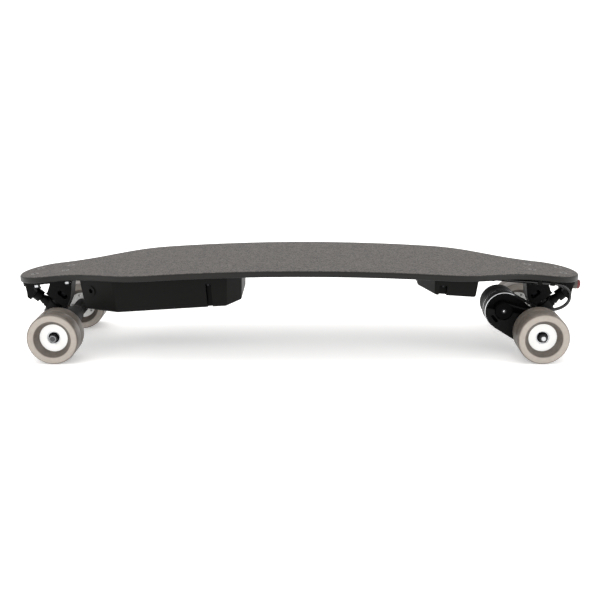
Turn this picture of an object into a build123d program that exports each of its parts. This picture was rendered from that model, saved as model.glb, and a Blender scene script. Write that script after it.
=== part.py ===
from build123d import *
import os
from math import acos, asin, atan2, cos, degrees, hypot, pi, radians, sin, sqrt, tan

# Electric skateboard, in millimetres. +Z is up, +X points to the tail, and the ground is at Z = 0.
# The origin lies on the ground, midway between the trucks. The nose is at -X, and the left side,
# with the belt drive, is at -Y. The rear truck is modelled, and the front one is its mirror image.

# ---- deck ----
deck_length = 970.0
deck_width = 246.0
deck_thickness = 9.5
grip_thickness = 0.8
grip_margin = 1.6            # bare wood left between the grip tape and the deck's edge
camber_radius = 3815.0       # of the deck's underside, arched upwards in the middle
nose_radius = 57.5           # half-round ends, centred on the truck bolts
tip_to_waist = 97.0          # from the tip to the corner where the ends start to widen
tip_to_shoulder = 207.0      # from the tip to the corner where the full width starts
shoulder_drop = 3.5          # how much narrower each side is at the shoulder than in the middle
waist_radius = 146.0
shoulder_radius = 150.0
side_radius = 12000.0        # gentle bow of the long sides
edge_round = 1.6

# ---- trucks ----
bolt_spacing_x = 53.98       # hole to hole along the board
bolt_spacing_y = 41.28
bolt_radius = 2.4
bolt_head_radius = 4.6
bolt_head_height = 2.6
bolt_hole_gap = 0.35         # radial clearance of the deck bolts in the holes that they pass
riser_thickness = 3.0
plate_thickness = 5.5
plate_inner = 42.0           # from the bolts' centre to the baseplate's inner end
plate_outer = 50.0           # from the bolts' centre to its outer end
plate_width = 58.0
plate_to_axle = 78.0         # from the baseplate's top face down to the axle
axle_set_in = 15.4           # from the bolts' centre back to the axle
steer_angle = 45.0           # steering axis above the baseplate
ring_distance = 35.5         # from the axle to the kingpin along the steering axis
ring_radius = 17.0
ring_low = -5.0              # heights from the steering axis, along the kingpin
ring_seat = 2.0
ring_high = 9.0
kingpin_radius = 4.75
kingpin_hole_radius = 6.9    # in the hanger: leaves room for the kingpin to lean as it steers
bushing_radius = 13.2
bushing_upper = 12.0
bushing_lower = 10.0
washer_thickness = 1.5
washer_radius = 13.0
wedge_half_width = 17.0
pivot_radius = 6.5
pivot_tip = 76.0             # from the axle to the end of the hanger's pivot
pivot_cup_wall = 1.8
pivot_cup_start = 66.0
pivot_cup_length = 14.0
pivot_housing_wall = 2.0
pivot_housing_start = 63.0
hanger_arm_radius = 12.5
hanger_root_radius = 16.5
hanger_root_half = 26.0
axle_radius = 3.95

# ---- wheels ----
wheel_diameter = 85.0
wheel_width = 52.5
track_width = 212.5          # between the middles of the two tyres
tyre_lip_radius = 4.5
recess_radius = 31.75
recess_depth = 11.0
core_face_radius = 23.5
core_radius = 25.5
core_width = 26.0
core_screw_circle = 19.0
core_screw_count = 5
core_screw_radius = 2.0
core_thread_depth = 9.0
bearing_radius = 11.0
bearing_width = 7.0
bearing_spacing = 10.2
axle_washer = 1.0
axle_nut_flats = 13.0
axle_nut_height = 7.5

# ---- belt drive ----
belt_pitch = 5.0
belt_teeth = 53
belt_width = 15.0
wheel_pulley_teeth = 36
motor_pulley_teeth = 15
pitch_line_offset = 0.57     # from a pulley's tips to the belt's pitch line
belt_clearance = 0.3
belt_back = 1.8
pulley_groove_radius = 1.5
pulley_flange = 1.2
pulley_flange_rise = 2.6
pulley_side_gap = 0.5        # belt to flange, each side
wheel_to_flange = 0.6        # tyre's inner face to the wheel pulley's first flange
motor_lift_angle = 30.4      # of the line from the axle up to the motor
motor_radius = 30.0
motor_can_length = 35.0
motor_can_wall = 2.6
stator_gap = 0.8
mount_thickness = 8.0
mount_gap = 1.2              # wheel pulley to the mount's face
mount_over_motor = 2.0       # from the motor's radius out to the mount's rim
mount_rim_wall = 2.6
mount_boss_radius = 20.0
mount_skirt = 6.0            # of the mount's rim around the motor's base
motor_screw_circle = 19.0
motor_shaft_radius = 4.0
guard_wall = 2.0
guard_face = 1.2
guard_clearance = 1.6
guard_set_back = 0.2         # from the wheel pulley's outer face
guard_short = 4.0            # from the axle to where the guard stops
guard_open_turn = 10.0       # slope of the face plate's upper edge
guard_slot_length = 16.0
guard_slot_width = 5.0
guard_slot_reach = 20.0      # from the motor's axis
guard_slot_turn = -40.0

# ---- enclosures under the deck ----
case_wall = 3.0
case_draft = 5.0
case_corner = 7.0
case_bottom_round = 4.0
seal_thickness = 1.0
battery_depth = 57.5
battery_inner_end = 94.0     # distances from the board's middle
battery_inner_corner = 118.5
battery_outer_corner = 308.0
battery_outer_end = 373.0
battery_half_width = 92.0
battery_inner_half = 50.0
battery_outer_half = 50.0
esc_depth = 31.5
esc_inner_end = 204.5
esc_inner_corner = 229.0
esc_outer_corner = 300.0
esc_outer_end = 306.0
esc_half_width = 92.0
esc_inner_half = 28.0
esc_outer_half = 60.0
cell_radius = 10.6
cell_length = 70.0
cell_pitch = 21.8
cells_along = 5
case_screw_radius = 1.9
case_screw_head = 3.6
case_screw_bite = 7.0        # depth of thread in the deck
channel_width = 22.0         # routed in the deck's underside for the cable between the cases
channel_depth = 3.2
link_cable_width = 20.0
link_cable_thickness = 2.6

# ---- small fittings ----
fit_gap = 0.05               # between pieces that are fastened to each other
running_gap = 0.08           # radial, of a shaft or button in its hole
face_gap = 0.1               # between a turning face and the face beside it
socket_radius = 7.0
socket_mouth_radius = 4.1
socket_mouth_depth = 5.0
button_radius = 6.0
button_travel = 1.5
light_radius = 8.5
light_body_length = 8.0
light_lens_length = 6.0
cable_radius = 2.75

# ---- what follows from them ----
wheel_radius = wheel_diameter / 2
bolts_x = deck_length / 2 - nose_radius
slope = asin(bolts_x / camber_radius)
under_z = wheel_radius + (riser_thickness + plate_to_axle) * cos(slope) - axle_set_in * sin(slope)
camber_z = under_z - camber_radius * cos(slope)
axle_x = bolts_x - (riser_thickness + plate_to_axle) * sin(slope) - axle_set_in * cos(slope)
axle_z = wheel_radius
steer_tilt = radians(steer_angle) - slope
wheel_y = track_width / 2
bearing_out = bearing_spacing / 2 + bearing_width
hanger_half = wheel_y - bearing_out - axle_washer - 2 * face_gap

base_plane = Plane(
    origin=(bolts_x, 0, under_z),
    x_dir=(cos(slope), 0, -sin(slope)),
    z_dir=(sin(slope), 0, cos(slope)),
)
steer_plane = Plane(
    origin=(axle_x, 0, axle_z),
    x_dir=(cos(steer_tilt), 0, sin(steer_tilt)),
    z_dir=(-sin(steer_tilt), 0, cos(steer_tilt)),
)


def on_plane(plane, x, z):
    """X and Z, in the board's frame, of a point of a plane's own x-z section."""
    point = plane.from_local_coords((x, 0, z))
    return point.X, point.Z


def rod(radius, start, end):
    """A round bar along +Z from start to end."""
    return Pos(0, 0, start) * Cylinder(radius, end - start, align=(Align.CENTER, Align.CENTER, Align.MIN))


def along_y(shape):
    """Turns a shape that was made along +Z so that it lies along +Y."""
    return Rot(-90, 0, 0) * shape


def along_x(shape):
    """Turns a shape that was made along +Z so that it lies along +X."""
    return Rot(0, 90, 0) * shape


def side_solid(sketch, y_low, y_high):
    """Extrudes a side view, drawn in X and Z, between two values of Y."""
    return Pos(0, y_high, 0) * extrude(Plane.XZ * sketch, amount=y_high - y_low)


def both_trucks(shape):
    return shape + mirror(shape, about=Plane.YZ)


def front(shape):
    return mirror(shape, about=Plane.YZ)


def hex_nut(flats, height, bore):
    blank = extrude(RegularPolygon(flats / 2, 6, major_radius=False), height)
    crown = rod(flats * 0.56, 0, height)
    crown = chamfer(crown.edges().group_by(Axis.Z)[-1], 0.8)
    return (blank & crown) - rod(bore, -1, height + 1)


def socket_screw(radius, length, head_radius, head_height):
    """A cap screw that points down from its head's underside at z = 0."""
    head = rod(head_radius, 0, head_height)
    head = chamfer(head.edges().group_by(Axis.Z)[-1], 0.4)
    drive = Pos(0, 0, head_height * 0.45) * extrude(RegularPolygon(head_radius * 0.5, 6), head_height)
    return head + rod(radius, -length, 0) - drive


# ---------------------------------------------------------------- deck

def deck_outline():
    half = deck_length / 2
    full = deck_width / 2
    shoulder = full - shoulder_drop
    waist_x = half - tip_to_waist
    shoulder_x = half - tip_to_shoulder
    side = FilletPolyline(
        (bolts_x, nose_radius),
        (waist_x, nose_radius),
        (shoulder_x, shoulder),
        (0, full),
        (-shoulder_x, shoulder),
        (-waist_x, nose_radius),
        (-bolts_x, nose_radius),
        radius=[waist_radius, shoulder_radius, side_radius, shoulder_radius, waist_radius],
    )
    tail = ThreePointArc((bolts_x, nose_radius), (half, 0), (bolts_x, -nose_radius))
    nose = ThreePointArc((-bolts_x, nose_radius), (-half, 0), (-bolts_x, -nose_radius))
    return make_face(Curve() + side + mirror(side, about=Plane.XZ) + tail + nose)


def arch_z(x, height):
    """Z of the arch that lies a given height above the deck's underside."""
    return camber_z + sqrt((camber_radius + height) ** 2 - x * x)


def arched_band(low, high, x_start, x_end, y_low, y_high):
    """A slab that follows the deck's arch between two heights above its underside."""
    middle = (x_start + x_end) / 2
    ring = Curve()
    ring += ThreePointArc(*[(x, arch_z(x, low)) for x in (x_start, middle, x_end)])
    ring += ThreePointArc(*[(x, arch_z(x, high)) for x in (x_start, middle, x_end)])
    ring += Line((x_start, arch_z(x_start, low)), (x_start, arch_z(x_start, high)))
    ring += Line((x_end, arch_z(x_end, low)), (x_end, arch_z(x_end, high)))
    return side_solid(make_face(ring), y_low, y_high)


def deck_slab(low, high, outline):
    reach = deck_length / 2 + 5
    band = arched_band(low, high, -reach, reach, -deck_width, deck_width)
    return band & extrude(outline, amount=arch_z(0, 50))


def bolt_places():
    """The four deck bolts of the rear truck, on the deck's underside."""
    return base_plane.location * GridLocations(bolt_spacing_x, bolt_spacing_y, 2, 2)


bolt_top = deck_thickness + grip_thickness


def bolt_holes():
    """Clearance holes of all eight deck bolts."""
    hole = rod(bolt_radius + bolt_hole_gap, -riser_thickness - plate_thickness - 1, bolt_top + 2)
    return [both_trucks(place * hole) for place in bolt_places()]


def bolt_sinks():
    """Countersinks for the bolts' heads in the deck's top."""
    wide = bolt_head_radius + bolt_hole_gap
    low = bolt_top - bolt_head_height
    corners = [(0, low), (bolt_radius + bolt_hole_gap, low), (wide, bolt_top)]
    corners += [(wide, bolt_top + 2), (0, bolt_top + 2)]
    sink = revolve(Plane.XZ * make_face(Polyline(*corners, close=True)), Axis.Z)
    return [both_trucks(place * sink) for place in bolt_places()]


def make_deck():
    deck = deck_slab(0, deck_thickness, deck_outline())
    skins = deck.faces().filter_by(GeomType.CYLINDER).sort_by(SortBy.AREA)[-2:]
    deck = fillet(skins.edges(), edge_round)
    deck -= bolt_holes()
    deck -= bolt_sinks()
    start, end = -battery_inner_corner - 30, esc_inner_corner + 30
    deck -= arched_band(-1, channel_depth, start, end, -channel_width / 2, channel_width / 2)
    return deck - case_screw_holes(case_screw_radius + fit_gap, -5, case_screw_bite + 1)


def make_grip_tape():
    sheet = deck_slab(deck_thickness, bolt_top, offset(deck_outline(), -grip_margin))
    hole = rod(bolt_head_radius + bolt_hole_gap, deck_thickness - 3, bolt_top + 3)
    return sheet - [both_trucks(place * hole) for place in bolt_places()]


def make_deck_bolts():
    length = bolt_top + riser_thickness + plate_thickness + 7
    head = Pos(0, 0, bolt_top - bolt_head_height / 2) * Cone(bolt_radius, bolt_head_radius, bolt_head_height)
    drive = Pos(0, 0, bolt_top - 1.6) * extrude(RegularPolygon(1.8, 6), 3)
    bolt = head + rod(bolt_radius, bolt_top - length, bolt_top - bolt_head_height) - drive
    return both_trucks(Part() + [place * bolt for place in bolt_places()])


def make_deck_bolt_nuts():
    nut = Pos(0, 0, -riser_thickness - plate_thickness - 4.6) * hex_nut(9.5, 4.6, bolt_radius + fit_gap)
    return both_trucks(Part() + [place * nut for place in bolt_places()])


# ---------------------------------------------------------------- trucks

def base_box(x_start, x_end, half_width, z_low, z_high):
    """A block square to the baseplate, measured from the bolts' centre on the deck's underside."""
    block = Box(x_end - x_start, 2 * half_width, z_high - z_low)
    return base_plane.location * Pos((x_start + x_end) / 2, 0, (z_low + z_high) / 2) * block


def along_kingpin(shape):
    """Puts a shape made along +Z on the kingpin, with z = 0 on the steering axis."""
    return steer_plane.location * Pos(ring_distance, 0, 0) * shape


def along_pivot(shape):
    """Puts a shape made along +Z on the steering axis, with z = 0 at the axle."""
    return steer_plane.location * along_x(shape)


upper_seat = ring_seat + bushing_upper + washer_thickness
lower_seat = ring_low - bushing_lower - washer_thickness
plate_low = -riser_thickness - plate_thickness
kingpin_head_low = upper_seat + 12.5
kingpin_head_height = 6.0
kingpin_nut_height = 8.0


def make_riser():
    pad = base_box(-plate_inner, plate_outer, plate_width / 2, -riser_thickness, 3)
    corners = pad.edges().filter_by(lambda e: abs(e.length - riser_thickness - 3) < 0.01)
    pad = fillet(corners, 9)
    pad -= arched_band(0, 20, bolts_x - 90, deck_length / 2 + 20, -plate_width, plate_width)
    return both_trucks(pad - bolt_holes())


def make_baseplate():
    plate = base_box(-plate_inner, plate_outer, plate_width / 2, plate_low, -riser_thickness)
    plate = fillet(plate.edges().filter_by(lambda e: abs(e.length - plate_thickness) < 0.01), 9)
    wedge_points = [
        on_plane(steer_plane, 16, upper_seat),
        on_plane(steer_plane, 60, upper_seat),
        on_plane(steer_plane, 59, upper_seat + 4),
        on_plane(base_plane, 4, plate_low + 0.5),
        on_plane(base_plane, -34, plate_low + 0.5),
        on_plane(steer_plane, 21, upper_seat + 21),
    ]
    wedge = side_solid(make_face(Polyline(*wedge_points, close=True)), -wedge_half_width, wedge_half_width)
    wedge = fillet(wedge.edges().filter_by(Axis.Y), 1.5)
    housing_radius = pivot_radius + running_gap + pivot_cup_wall + pivot_housing_wall
    housing_end = pivot_cup_start + pivot_cup_length + 3
    housing = along_pivot(rod(housing_radius, pivot_housing_start, housing_end))
    wall_points = [
        on_plane(base_plane, plate_outer - 11, plate_low + 0.5),
        on_plane(base_plane, plate_outer - 1, plate_low + 0.5),
        on_plane(base_plane, plate_outer - 2, plate_low - 13),
        on_plane(steer_plane, housing_end - 2, -housing_radius + 1),
        on_plane(steer_plane, housing_end - 9, -housing_radius + 1),
        on_plane(steer_plane, housing_end - 9, housing_radius - 3),
    ]
    wall = side_solid(make_face(Polyline(*wall_points, close=True)), -wedge_half_width, wedge_half_width)
    ribs = Part()
    for side in (-1, 1):
        rib = side_solid(make_face(Polyline(
            on_plane(base_plane, -plate_inner + 6, plate_low + 0.5),
            on_plane(base_plane, plate_outer - 6, plate_low + 0.5),
            on_plane(base_plane, plate_outer - 10, plate_low - 3),
            on_plane(base_plane, -plate_inner + 9, plate_low - 3),
            close=True,
        )), -1.5, 1.5)
        ribs += Pos(0, side * (wedge_half_width - 4), 0) * rib
    base = plate + wedge + housing + wall + ribs
    base -= bolt_holes()
    nut_room = rod(6.6, plate_low - 8, plate_low)
    base -= [place * nut_room for place in bolt_places()]
    base -= along_kingpin(rod(kingpin_radius + fit_gap, upper_seat - 1, kingpin_head_low + 1))
    pocket = along_kingpin(rod(10, kingpin_head_low, kingpin_head_low + 16))
    window = SlotOverall(19, 9)
    window = steer_plane.location * Pos(ring_distance, 0, kingpin_head_low + 4) * Rot(90, 0, 0) * extrude(
        window, 40, both=True
    )
    base -= pocket + window
    cup = pivot_radius + running_gap + pivot_cup_wall + fit_gap
    base -= along_pivot(rod(cup, pivot_housing_start - 5, pivot_cup_start + pivot_cup_length))
    keep = base_box(-200, plate_outer + 0.01, 60, -120, -riser_thickness)
    return base & keep


def make_pivot_cups():
    cup = rod(pivot_radius + running_gap + pivot_cup_wall, pivot_cup_start, pivot_cup_start + pivot_cup_length)
    cup -= rod(pivot_radius + running_gap, pivot_cup_start - 1, pivot_tip + 1)
    return both_trucks(along_pivot(cup))


def make_kingpins():
    head = extrude(RegularPolygon(7.2, 6, major_radius=False), kingpin_head_height)
    pin = rod(kingpin_radius, lower_seat - kingpin_nut_height - 3, kingpin_head_low)
    pin = chamfer(pin.edges().group_by(Axis.Z)[0], 0.8)
    return both_trucks(along_kingpin(pin + Pos(0, 0, kingpin_head_low) * head))


def make_kingpin_nuts():
    nut = hex_nut(14.3, kingpin_nut_height, kingpin_radius + fit_gap)
    nut = Pos(0, 0, lower_seat) * Rot(180, 0, 0) * nut
    return both_trucks(along_kingpin(nut))


def make_bushings():
    """Barrel bushing between baseplate and hanger, and cone bushing below the hanger."""
    barrel = rod(bushing_radius, ring_seat, ring_seat + bushing_upper)
    barrel = fillet(barrel.edges(), 1.5)
    cone = Pos(0, 0, ring_low - bushing_lower / 2) * Cone(bushing_radius - 3, bushing_radius, bushing_lower)
    cone = fillet(cone.edges(), 1.2)
    bore = rod(kingpin_radius + fit_gap, lower_seat, upper_seat)
    return along_kingpin(barrel + cone - bore)


def make_bushing_washers():
    bore = rod(kingpin_radius + fit_gap, lower_seat - 1, upper_seat + 1)
    upper = rod(washer_radius, upper_seat - washer_thickness, upper_seat)
    lower = rod(washer_radius - 2, lower_seat, lower_seat + washer_thickness)
    return both_trucks(along_kingpin(upper + lower - bore))


def make_hanger():
    ring = along_kingpin(rod(ring_radius, ring_low, ring_high))
    neck = along_pivot(
        Pos(0, 0, ring_distance + 19) * Cone(11, pivot_radius, 14) + rod(pivot_radius, ring_distance + 24, pivot_tip - 6)
        + Pos(0, 0, pivot_tip - pivot_radius) * Sphere(pivot_radius)
    )
    slab_points = [
        on_plane(steer_plane, -9, 8),
        on_plane(steer_plane, 18, 9),
        on_plane(steer_plane, ring_distance + 10, ring_high - 2),
        on_plane(steer_plane, ring_distance + 16, 3),
        on_plane(steer_plane, ring_distance + 16, -5),
        on_plane(steer_plane, ring_distance, ring_low),
        on_plane(steer_plane, 14, -9),
        on_plane(steer_plane, -6, -9),
    ]
    slab = side_solid(make_face(Polyline(*slab_points, close=True)), -ring_radius + 4, ring_radius - 4)
    arms = Part()
    for side in (-1, 1):
        root = rod(hanger_root_radius, 0, hanger_root_half)
        taper_length = hanger_taper_half - hanger_root_half
        taper = Pos(0, 0, hanger_root_half + taper_length / 2) * Cone(
            hanger_root_radius, hanger_arm_radius, taper_length
        )
        tip = rod(hanger_arm_radius, hanger_taper_half, hanger_half)
        tip = chamfer(tip.edges().group_by(Axis.Z)[-1], 2.0)
        arm = along_y(root + taper + tip)
        arms += Pos(axle_x, 0, axle_z) * (arm if side > 0 else mirror(arm, about=Plane.XZ))
    hanger = ring + neck + slab + arms
    hanger -= along_kingpin(rod(bushing_radius + 0.8, ring_seat, upper_seat + 8))
    hanger -= along_kingpin(rod(kingpin_hole_radius, -40, 40))
    below = rod(bushing_radius + 6, lower_seat - 12, ring_low)
    hanger -= along_kingpin(below)
    hanger -= Pos(axle_x, 0, axle_z) * along_y(rod(axle_radius + fit_gap, -hanger_half - 1, hanger_half + 1))
    return hanger


nut_face = wheel_y + bearing_out + face_gap + axle_washer
axle_half = nut_face + axle_nut_height + 2


def make_axle():
    axle = along_y(rod(axle_radius, -axle_half, axle_half))
    axle = chamfer(axle.edges().filter_by(GeomType.CIRCLE), 0.7)
    return Pos(axle_x, 0, axle_z) * axle


def both_wheels(shape):
    """A shape placed about the +Y axle end, and its mirror image at the other end."""
    shape = Pos(axle_x, 0, axle_z) * along_y(shape)
    return shape + mirror(shape, about=Plane.XZ)


def make_axle_nuts():
    return both_wheels(Pos(0, 0, nut_face) * hex_nut(axle_nut_flats, axle_nut_height, axle_radius + fit_gap))


def make_axle_spacers():
    """Speed washers on both sides of each wheel, and the spacer between its bearings."""
    inner = rod(6.5, hanger_half, hanger_half + axle_washer)
    outer = rod(6.5, nut_face - axle_washer, nut_face)
    middle = rod(5.6, wheel_y - bearing_spacing / 2 + face_gap, wheel_y + bearing_spacing / 2 - face_gap)
    bore = rod(axle_radius + fit_gap, 0, 200)
    return both_wheels(inner + outer + middle - bore)


# ---------------------------------------------------------------- wheels

def spun(points):
    """Turns a half section, drawn as (radius, height) pairs, about the Z axis."""
    section = make_face(Polyline(*[(r, 0, z) for r, z in points], close=True))
    return revolve(section, Axis.Z, 360)


def wheel_tyre():
    """Urethane tyre about the Z axis, with the same dished recess on both faces."""
    half = wheel_width / 2
    lip = half - recess_depth
    tyre = spun([
        (core_face_radius, lip),
        (recess_radius, half),
        (wheel_radius, half),
        (wheel_radius, -half),
        (recess_radius, -half),
        (core_face_radius, -lip),
    ])
    tread = tyre.faces().filter_by(GeomType.CYLINDER).sort_by(SortBy.AREA)[-1]
    tyre = fillet(tread.edges(), tyre_lip_radius)
    return tyre - rod(core_radius + fit_gap, -core_width / 2 - fit_gap, core_width / 2 + fit_gap)


def wheel_core(inner_side):
    """Hard core about the Z axis; inner_side, -1 or 1, is the way of the side with the screw holes."""
    half = core_width / 2
    core = rod(core_radius, -half, half)
    core -= rod(bearing_radius - 2, -half - 1, half + 1)
    core -= rod(bearing_radius + fit_gap, bearing_spacing / 2, half + 1)
    core -= rod(bearing_radius + fit_gap, -half - 1, -bearing_spacing / 2)
    hole = rod(core_screw_radius + fit_gap, half - core_thread_depth, half + 1)
    holes = PolarLocations(core_screw_circle, core_screw_count)
    if inner_side < 0:
        hole = mirror(hole, about=Plane.XY)
    return core - [place * hole for place in holes]


def wheel_bearings():
    """A pair of 608 bearings, each with its races and shields as one closed ring."""
    ring = rod(bearing_radius, bearing_spacing / 2, bearing_out)
    ring = chamfer(ring.edges(), 0.4)
    groove = rod(bearing_radius - 1.9, bearing_out - 0.5, bearing_out + 1)
    groove -= rod(6.0, bearing_out - 1, bearing_out + 2)
    ring -= groove
    ring -= rod(axle_radius + running_gap, 0, 40)
    return ring + mirror(ring, about=Plane.XY)


def at_wheel(shape, side):
    """Puts a shape made about the Z axis on the rear wheel at side -1 (left) or 1 (right)."""
    return Pos(axle_x, side * wheel_y, axle_z) * along_y(shape)


# ---------------------------------------------------------------- belt drive, on the rear left wheel

wheel_pitch_radius = wheel_pulley_teeth * belt_pitch / (2 * pi)
motor_pitch_radius = motor_pulley_teeth * belt_pitch / (2 * pi)
wheel_tip_radius = wheel_pitch_radius - pitch_line_offset
motor_tip_radius = motor_pitch_radius - pitch_line_offset


def belt_length(centres):
    """Pitch length of the belt round two pulleys a given distance apart."""
    swing = asin((wheel_pitch_radius - motor_pitch_radius) / centres)
    spans = 2 * centres * cos(swing)
    return spans + pi * (wheel_pitch_radius + motor_pitch_radius) + 2 * swing * (
        wheel_pitch_radius - motor_pitch_radius
    )


def find_centres():
    """Centre distance at which the belt of belt_teeth teeth is just tight."""
    low, high = wheel_pitch_radius, belt_teeth * belt_pitch
    for _ in range(60):
        middle = (low + high) / 2
        if belt_length(middle) < belt_teeth * belt_pitch:
            low = middle
        else:
            high = middle
    return low


centre_distance = find_centres()
mount_rim_radius = motor_radius + mount_over_motor
motor_dx = -centre_distance * cos(radians(motor_lift_angle))
motor_dz = centre_distance * sin(radians(motor_lift_angle))
motor_x = axle_x + motor_dx
motor_z = axle_z + motor_dz

# Places along Y, from the left wheel's inner face towards the board's middle
flange_out_y = -(wheel_y - wheel_width / 2) + wheel_to_flange
teeth_out_y = flange_out_y + pulley_flange
teeth_in_y = teeth_out_y + belt_width + 2 * pulley_side_gap
flange_in_y = teeth_in_y + pulley_flange
mount_out_y = flange_in_y + mount_gap
mount_in_y = mount_out_y + mount_thickness
skirt_in_y = mount_in_y + mount_skirt
can_start_y = skirt_in_y + 0.6
can_end_y = can_start_y + motor_can_length
hanger_taper_half = -skirt_in_y - 1      # the arms are straight from the motor mount outwards
core_inner_y = -(wheel_y - core_width / 2)


def tube_y(radius, y_start, y_end, x=0.0, z=0.0):
    """A round bar along Y between two values of Y; x and z are measured from the axle."""
    return Pos(axle_x + x, 0, axle_z + z) * along_y(rod(radius, y_start, y_end))


def at_motor(radius, y_start, y_end):
    return tube_y(radius, y_start, y_end, motor_dx, motor_dz)


def wrap(motor_r, axle_r, y_start, y_end):
    """A solid with the outline of a taut band round the motor's and the axle's circles."""
    swing = acos((axle_r - motor_r) / centre_distance)
    line = atan2(motor_dz, motor_dx)
    up, down = line + swing, line - swing
    points = [
        (axle_x + axle_r * cos(up), axle_z + axle_r * sin(up)),
        (motor_x + motor_r * cos(up), motor_z + motor_r * sin(up)),
        (motor_x + motor_r * cos(down), motor_z + motor_r * sin(down)),
        (axle_x + axle_r * cos(down), axle_z + axle_r * sin(down)),
    ]
    bridge = side_solid(make_face(Polyline(*points, close=True)), y_start, y_end)
    return bridge + at_motor(motor_r, y_start, y_end) + tube_y(axle_r, y_start, y_end)


def pulley(tip_radius, teeth, x=0.0, z=0.0):
    """Toothed part and flanges of a pulley; x and z are its centre, measured from the axle."""
    ring = tube_y(tip_radius, teeth_out_y, teeth_in_y, x, z)
    cutter = rod(pulley_groove_radius, flange_out_y - 1, flange_in_y + 1)
    centre = Pos(axle_x + x, 0, axle_z + z)
    ring -= [centre * along_y(place * cutter) for place in PolarLocations(tip_radius, teeth)]
    outer = tube_y(tip_radius + pulley_flange_rise, flange_out_y, teeth_out_y, x, z)
    inner = tube_y(tip_radius + pulley_flange_rise, teeth_in_y, flange_in_y, x, z)
    return ring + outer + inner


pulley_bore = hanger_arm_radius + 1.5
pulley_screw_length = flange_in_y - core_inner_y + core_thread_depth - 6


def make_wheel_pulley():
    hub = tube_y(core_face_radius - 1.5, core_inner_y, flange_out_y + 0.5)
    body = pulley(wheel_tip_radius, wheel_pulley_teeth) + hub
    body -= tube_y(pulley_bore, core_inner_y - 1, flange_in_y + 1)
    hole = rod(core_screw_radius + 0.2, core_inner_y - 1, flange_in_y + 1)
    head = rod(3.7, flange_in_y - 4.2, flange_in_y + 1)
    centre = Pos(axle_x, 0, axle_z)
    holes = [centre * along_y(place * (hole + head)) for place in screw_places()]
    return body - holes


def screw_places():
    return PolarLocations(core_screw_circle, core_screw_count)


def make_pulley_screws():
    screw = socket_screw(core_screw_radius, pulley_screw_length, 3.4, 3.6)
    screw = Pos(0, 0, flange_in_y - 4.2) * screw
    centre = Pos(axle_x, 0, axle_z)
    return Part() + [centre * along_y(place * screw) for place in screw_places()]


def make_belt():
    """Belt with its teeth on the two free spans, where they show between the pulleys."""
    y_out = teeth_out_y + pulley_side_gap
    y_in = teeth_in_y - pulley_side_gap
    inner_motor = motor_tip_radius + belt_clearance
    inner_wheel = wheel_tip_radius + belt_clearance
    band = wrap(inner_motor + belt_back, inner_wheel + belt_back, y_out, y_in)
    band -= wrap(inner_motor, inner_wheel, y_out - 1, y_in + 1)
    line = atan2(motor_dz, motor_dx)
    swing = acos((inner_wheel - inner_motor) / centre_distance)
    span = centre_distance * sin(swing)
    margin = 12.0
    count = int((span - 2 * margin) / belt_pitch)
    for side in (1, -1):
        normal = line + side * swing
        along = normal - side * pi / 2
        start = (span - (count - 1) * belt_pitch) / 2
        for step in range(count):
            reach = start + step * belt_pitch
            x = inner_wheel * cos(normal) + reach * cos(along)
            z = inner_wheel * sin(normal) + reach * sin(along)
            band += tube_y(1.1, y_out, y_in, x, z)
    return band


def make_motor_mount():
    plate = wrap(mount_rim_radius, mount_boss_radius, mount_out_y, mount_in_y)
    boss = tube_y(mount_boss_radius, mount_in_y - 1, skirt_in_y)
    skirt = at_motor(mount_rim_radius, mount_in_y - 1, skirt_in_y)
    skirt -= at_motor(mount_rim_radius - mount_rim_wall, mount_in_y, skirt_in_y + 1)
    mount = plate + boss + skirt
    mount -= tube_y(hanger_arm_radius + fit_gap, -hanger_half, 0)
    slit = Pos(axle_x + mount_boss_radius, (mount_out_y + skirt_in_y) / 2, axle_z) * Box(
        mount_boss_radius * 1.7, 40, 2.0
    )
    mount -= slit
    mount -= at_motor(motor_shaft_radius + 2.5, mount_out_y - 1, mount_in_y + 1)
    mount -= motor_screw_set(2.05, 3.8)
    return mount


def motor_screw_places():
    return PolarLocations(motor_screw_circle / 2 * 1.2, 4, start_angle=45)


def motor_screw_set(shank, head):
    centre = Pos(motor_x, 0, motor_z)
    cutter = rod(shank, mount_out_y - 1, mount_in_y + 1) + rod(head, mount_out_y - 1, mount_out_y + 4.5)
    return [centre * along_y(place * cutter) for place in motor_screw_places()]


def make_motor_screws():
    screw = Rot(180, 0, 0) * socket_screw(2.0, mount_in_y - mount_out_y + 0.5, 3.5, 3.6)
    screw = Pos(0, 0, mount_out_y + 4.5) * screw
    centre = Pos(motor_x, 0, motor_z)
    return Part() + [centre * along_y(place * screw) for place in motor_screw_places()]


def make_motor_base():
    """Base and wound core of the motor, which stay still inside the turning can."""
    inner = mount_rim_radius - mount_rim_wall - 0.6
    base = at_motor(inner, mount_in_y, skirt_in_y)
    stator_radius = motor_radius - motor_can_wall - stator_gap
    stator = at_motor(stator_radius, skirt_in_y - 1, can_end_y - motor_can_wall - 2)
    body = base + stator
    body -= at_motor(motor_shaft_radius + running_gap, mount_in_y - 1, can_end_y)
    hole = rod(2.0 + fit_gap, mount_in_y - 1, mount_in_y + 5)
    centre = Pos(motor_x, 0, motor_z)
    return body - [centre * along_y(place * hole) for place in motor_screw_places()]


def make_motor_can():
    can = at_motor(motor_radius, can_start_y, can_end_y)
    can = fillet(can.edges().filter_by(GeomType.CIRCLE).sort_by(Axis.Y)[-1], 2.0)
    can -= at_motor(motor_radius - motor_can_wall, can_start_y - 1, can_end_y - motor_can_wall)
    can -= at_motor(motor_shaft_radius + fit_gap, can_start_y, can_end_y + 1)
    vent = rod(4.2, can_end_y - 6, can_end_y + 6)
    centre = Pos(motor_x, 0, motor_z)
    return can - [centre * along_y(place * vent) for place in PolarLocations(motor_radius * 0.6, 6)]


def make_motor_shaft():
    return at_motor(motor_shaft_radius, flange_out_y - 0.3, can_end_y + 1)


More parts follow.
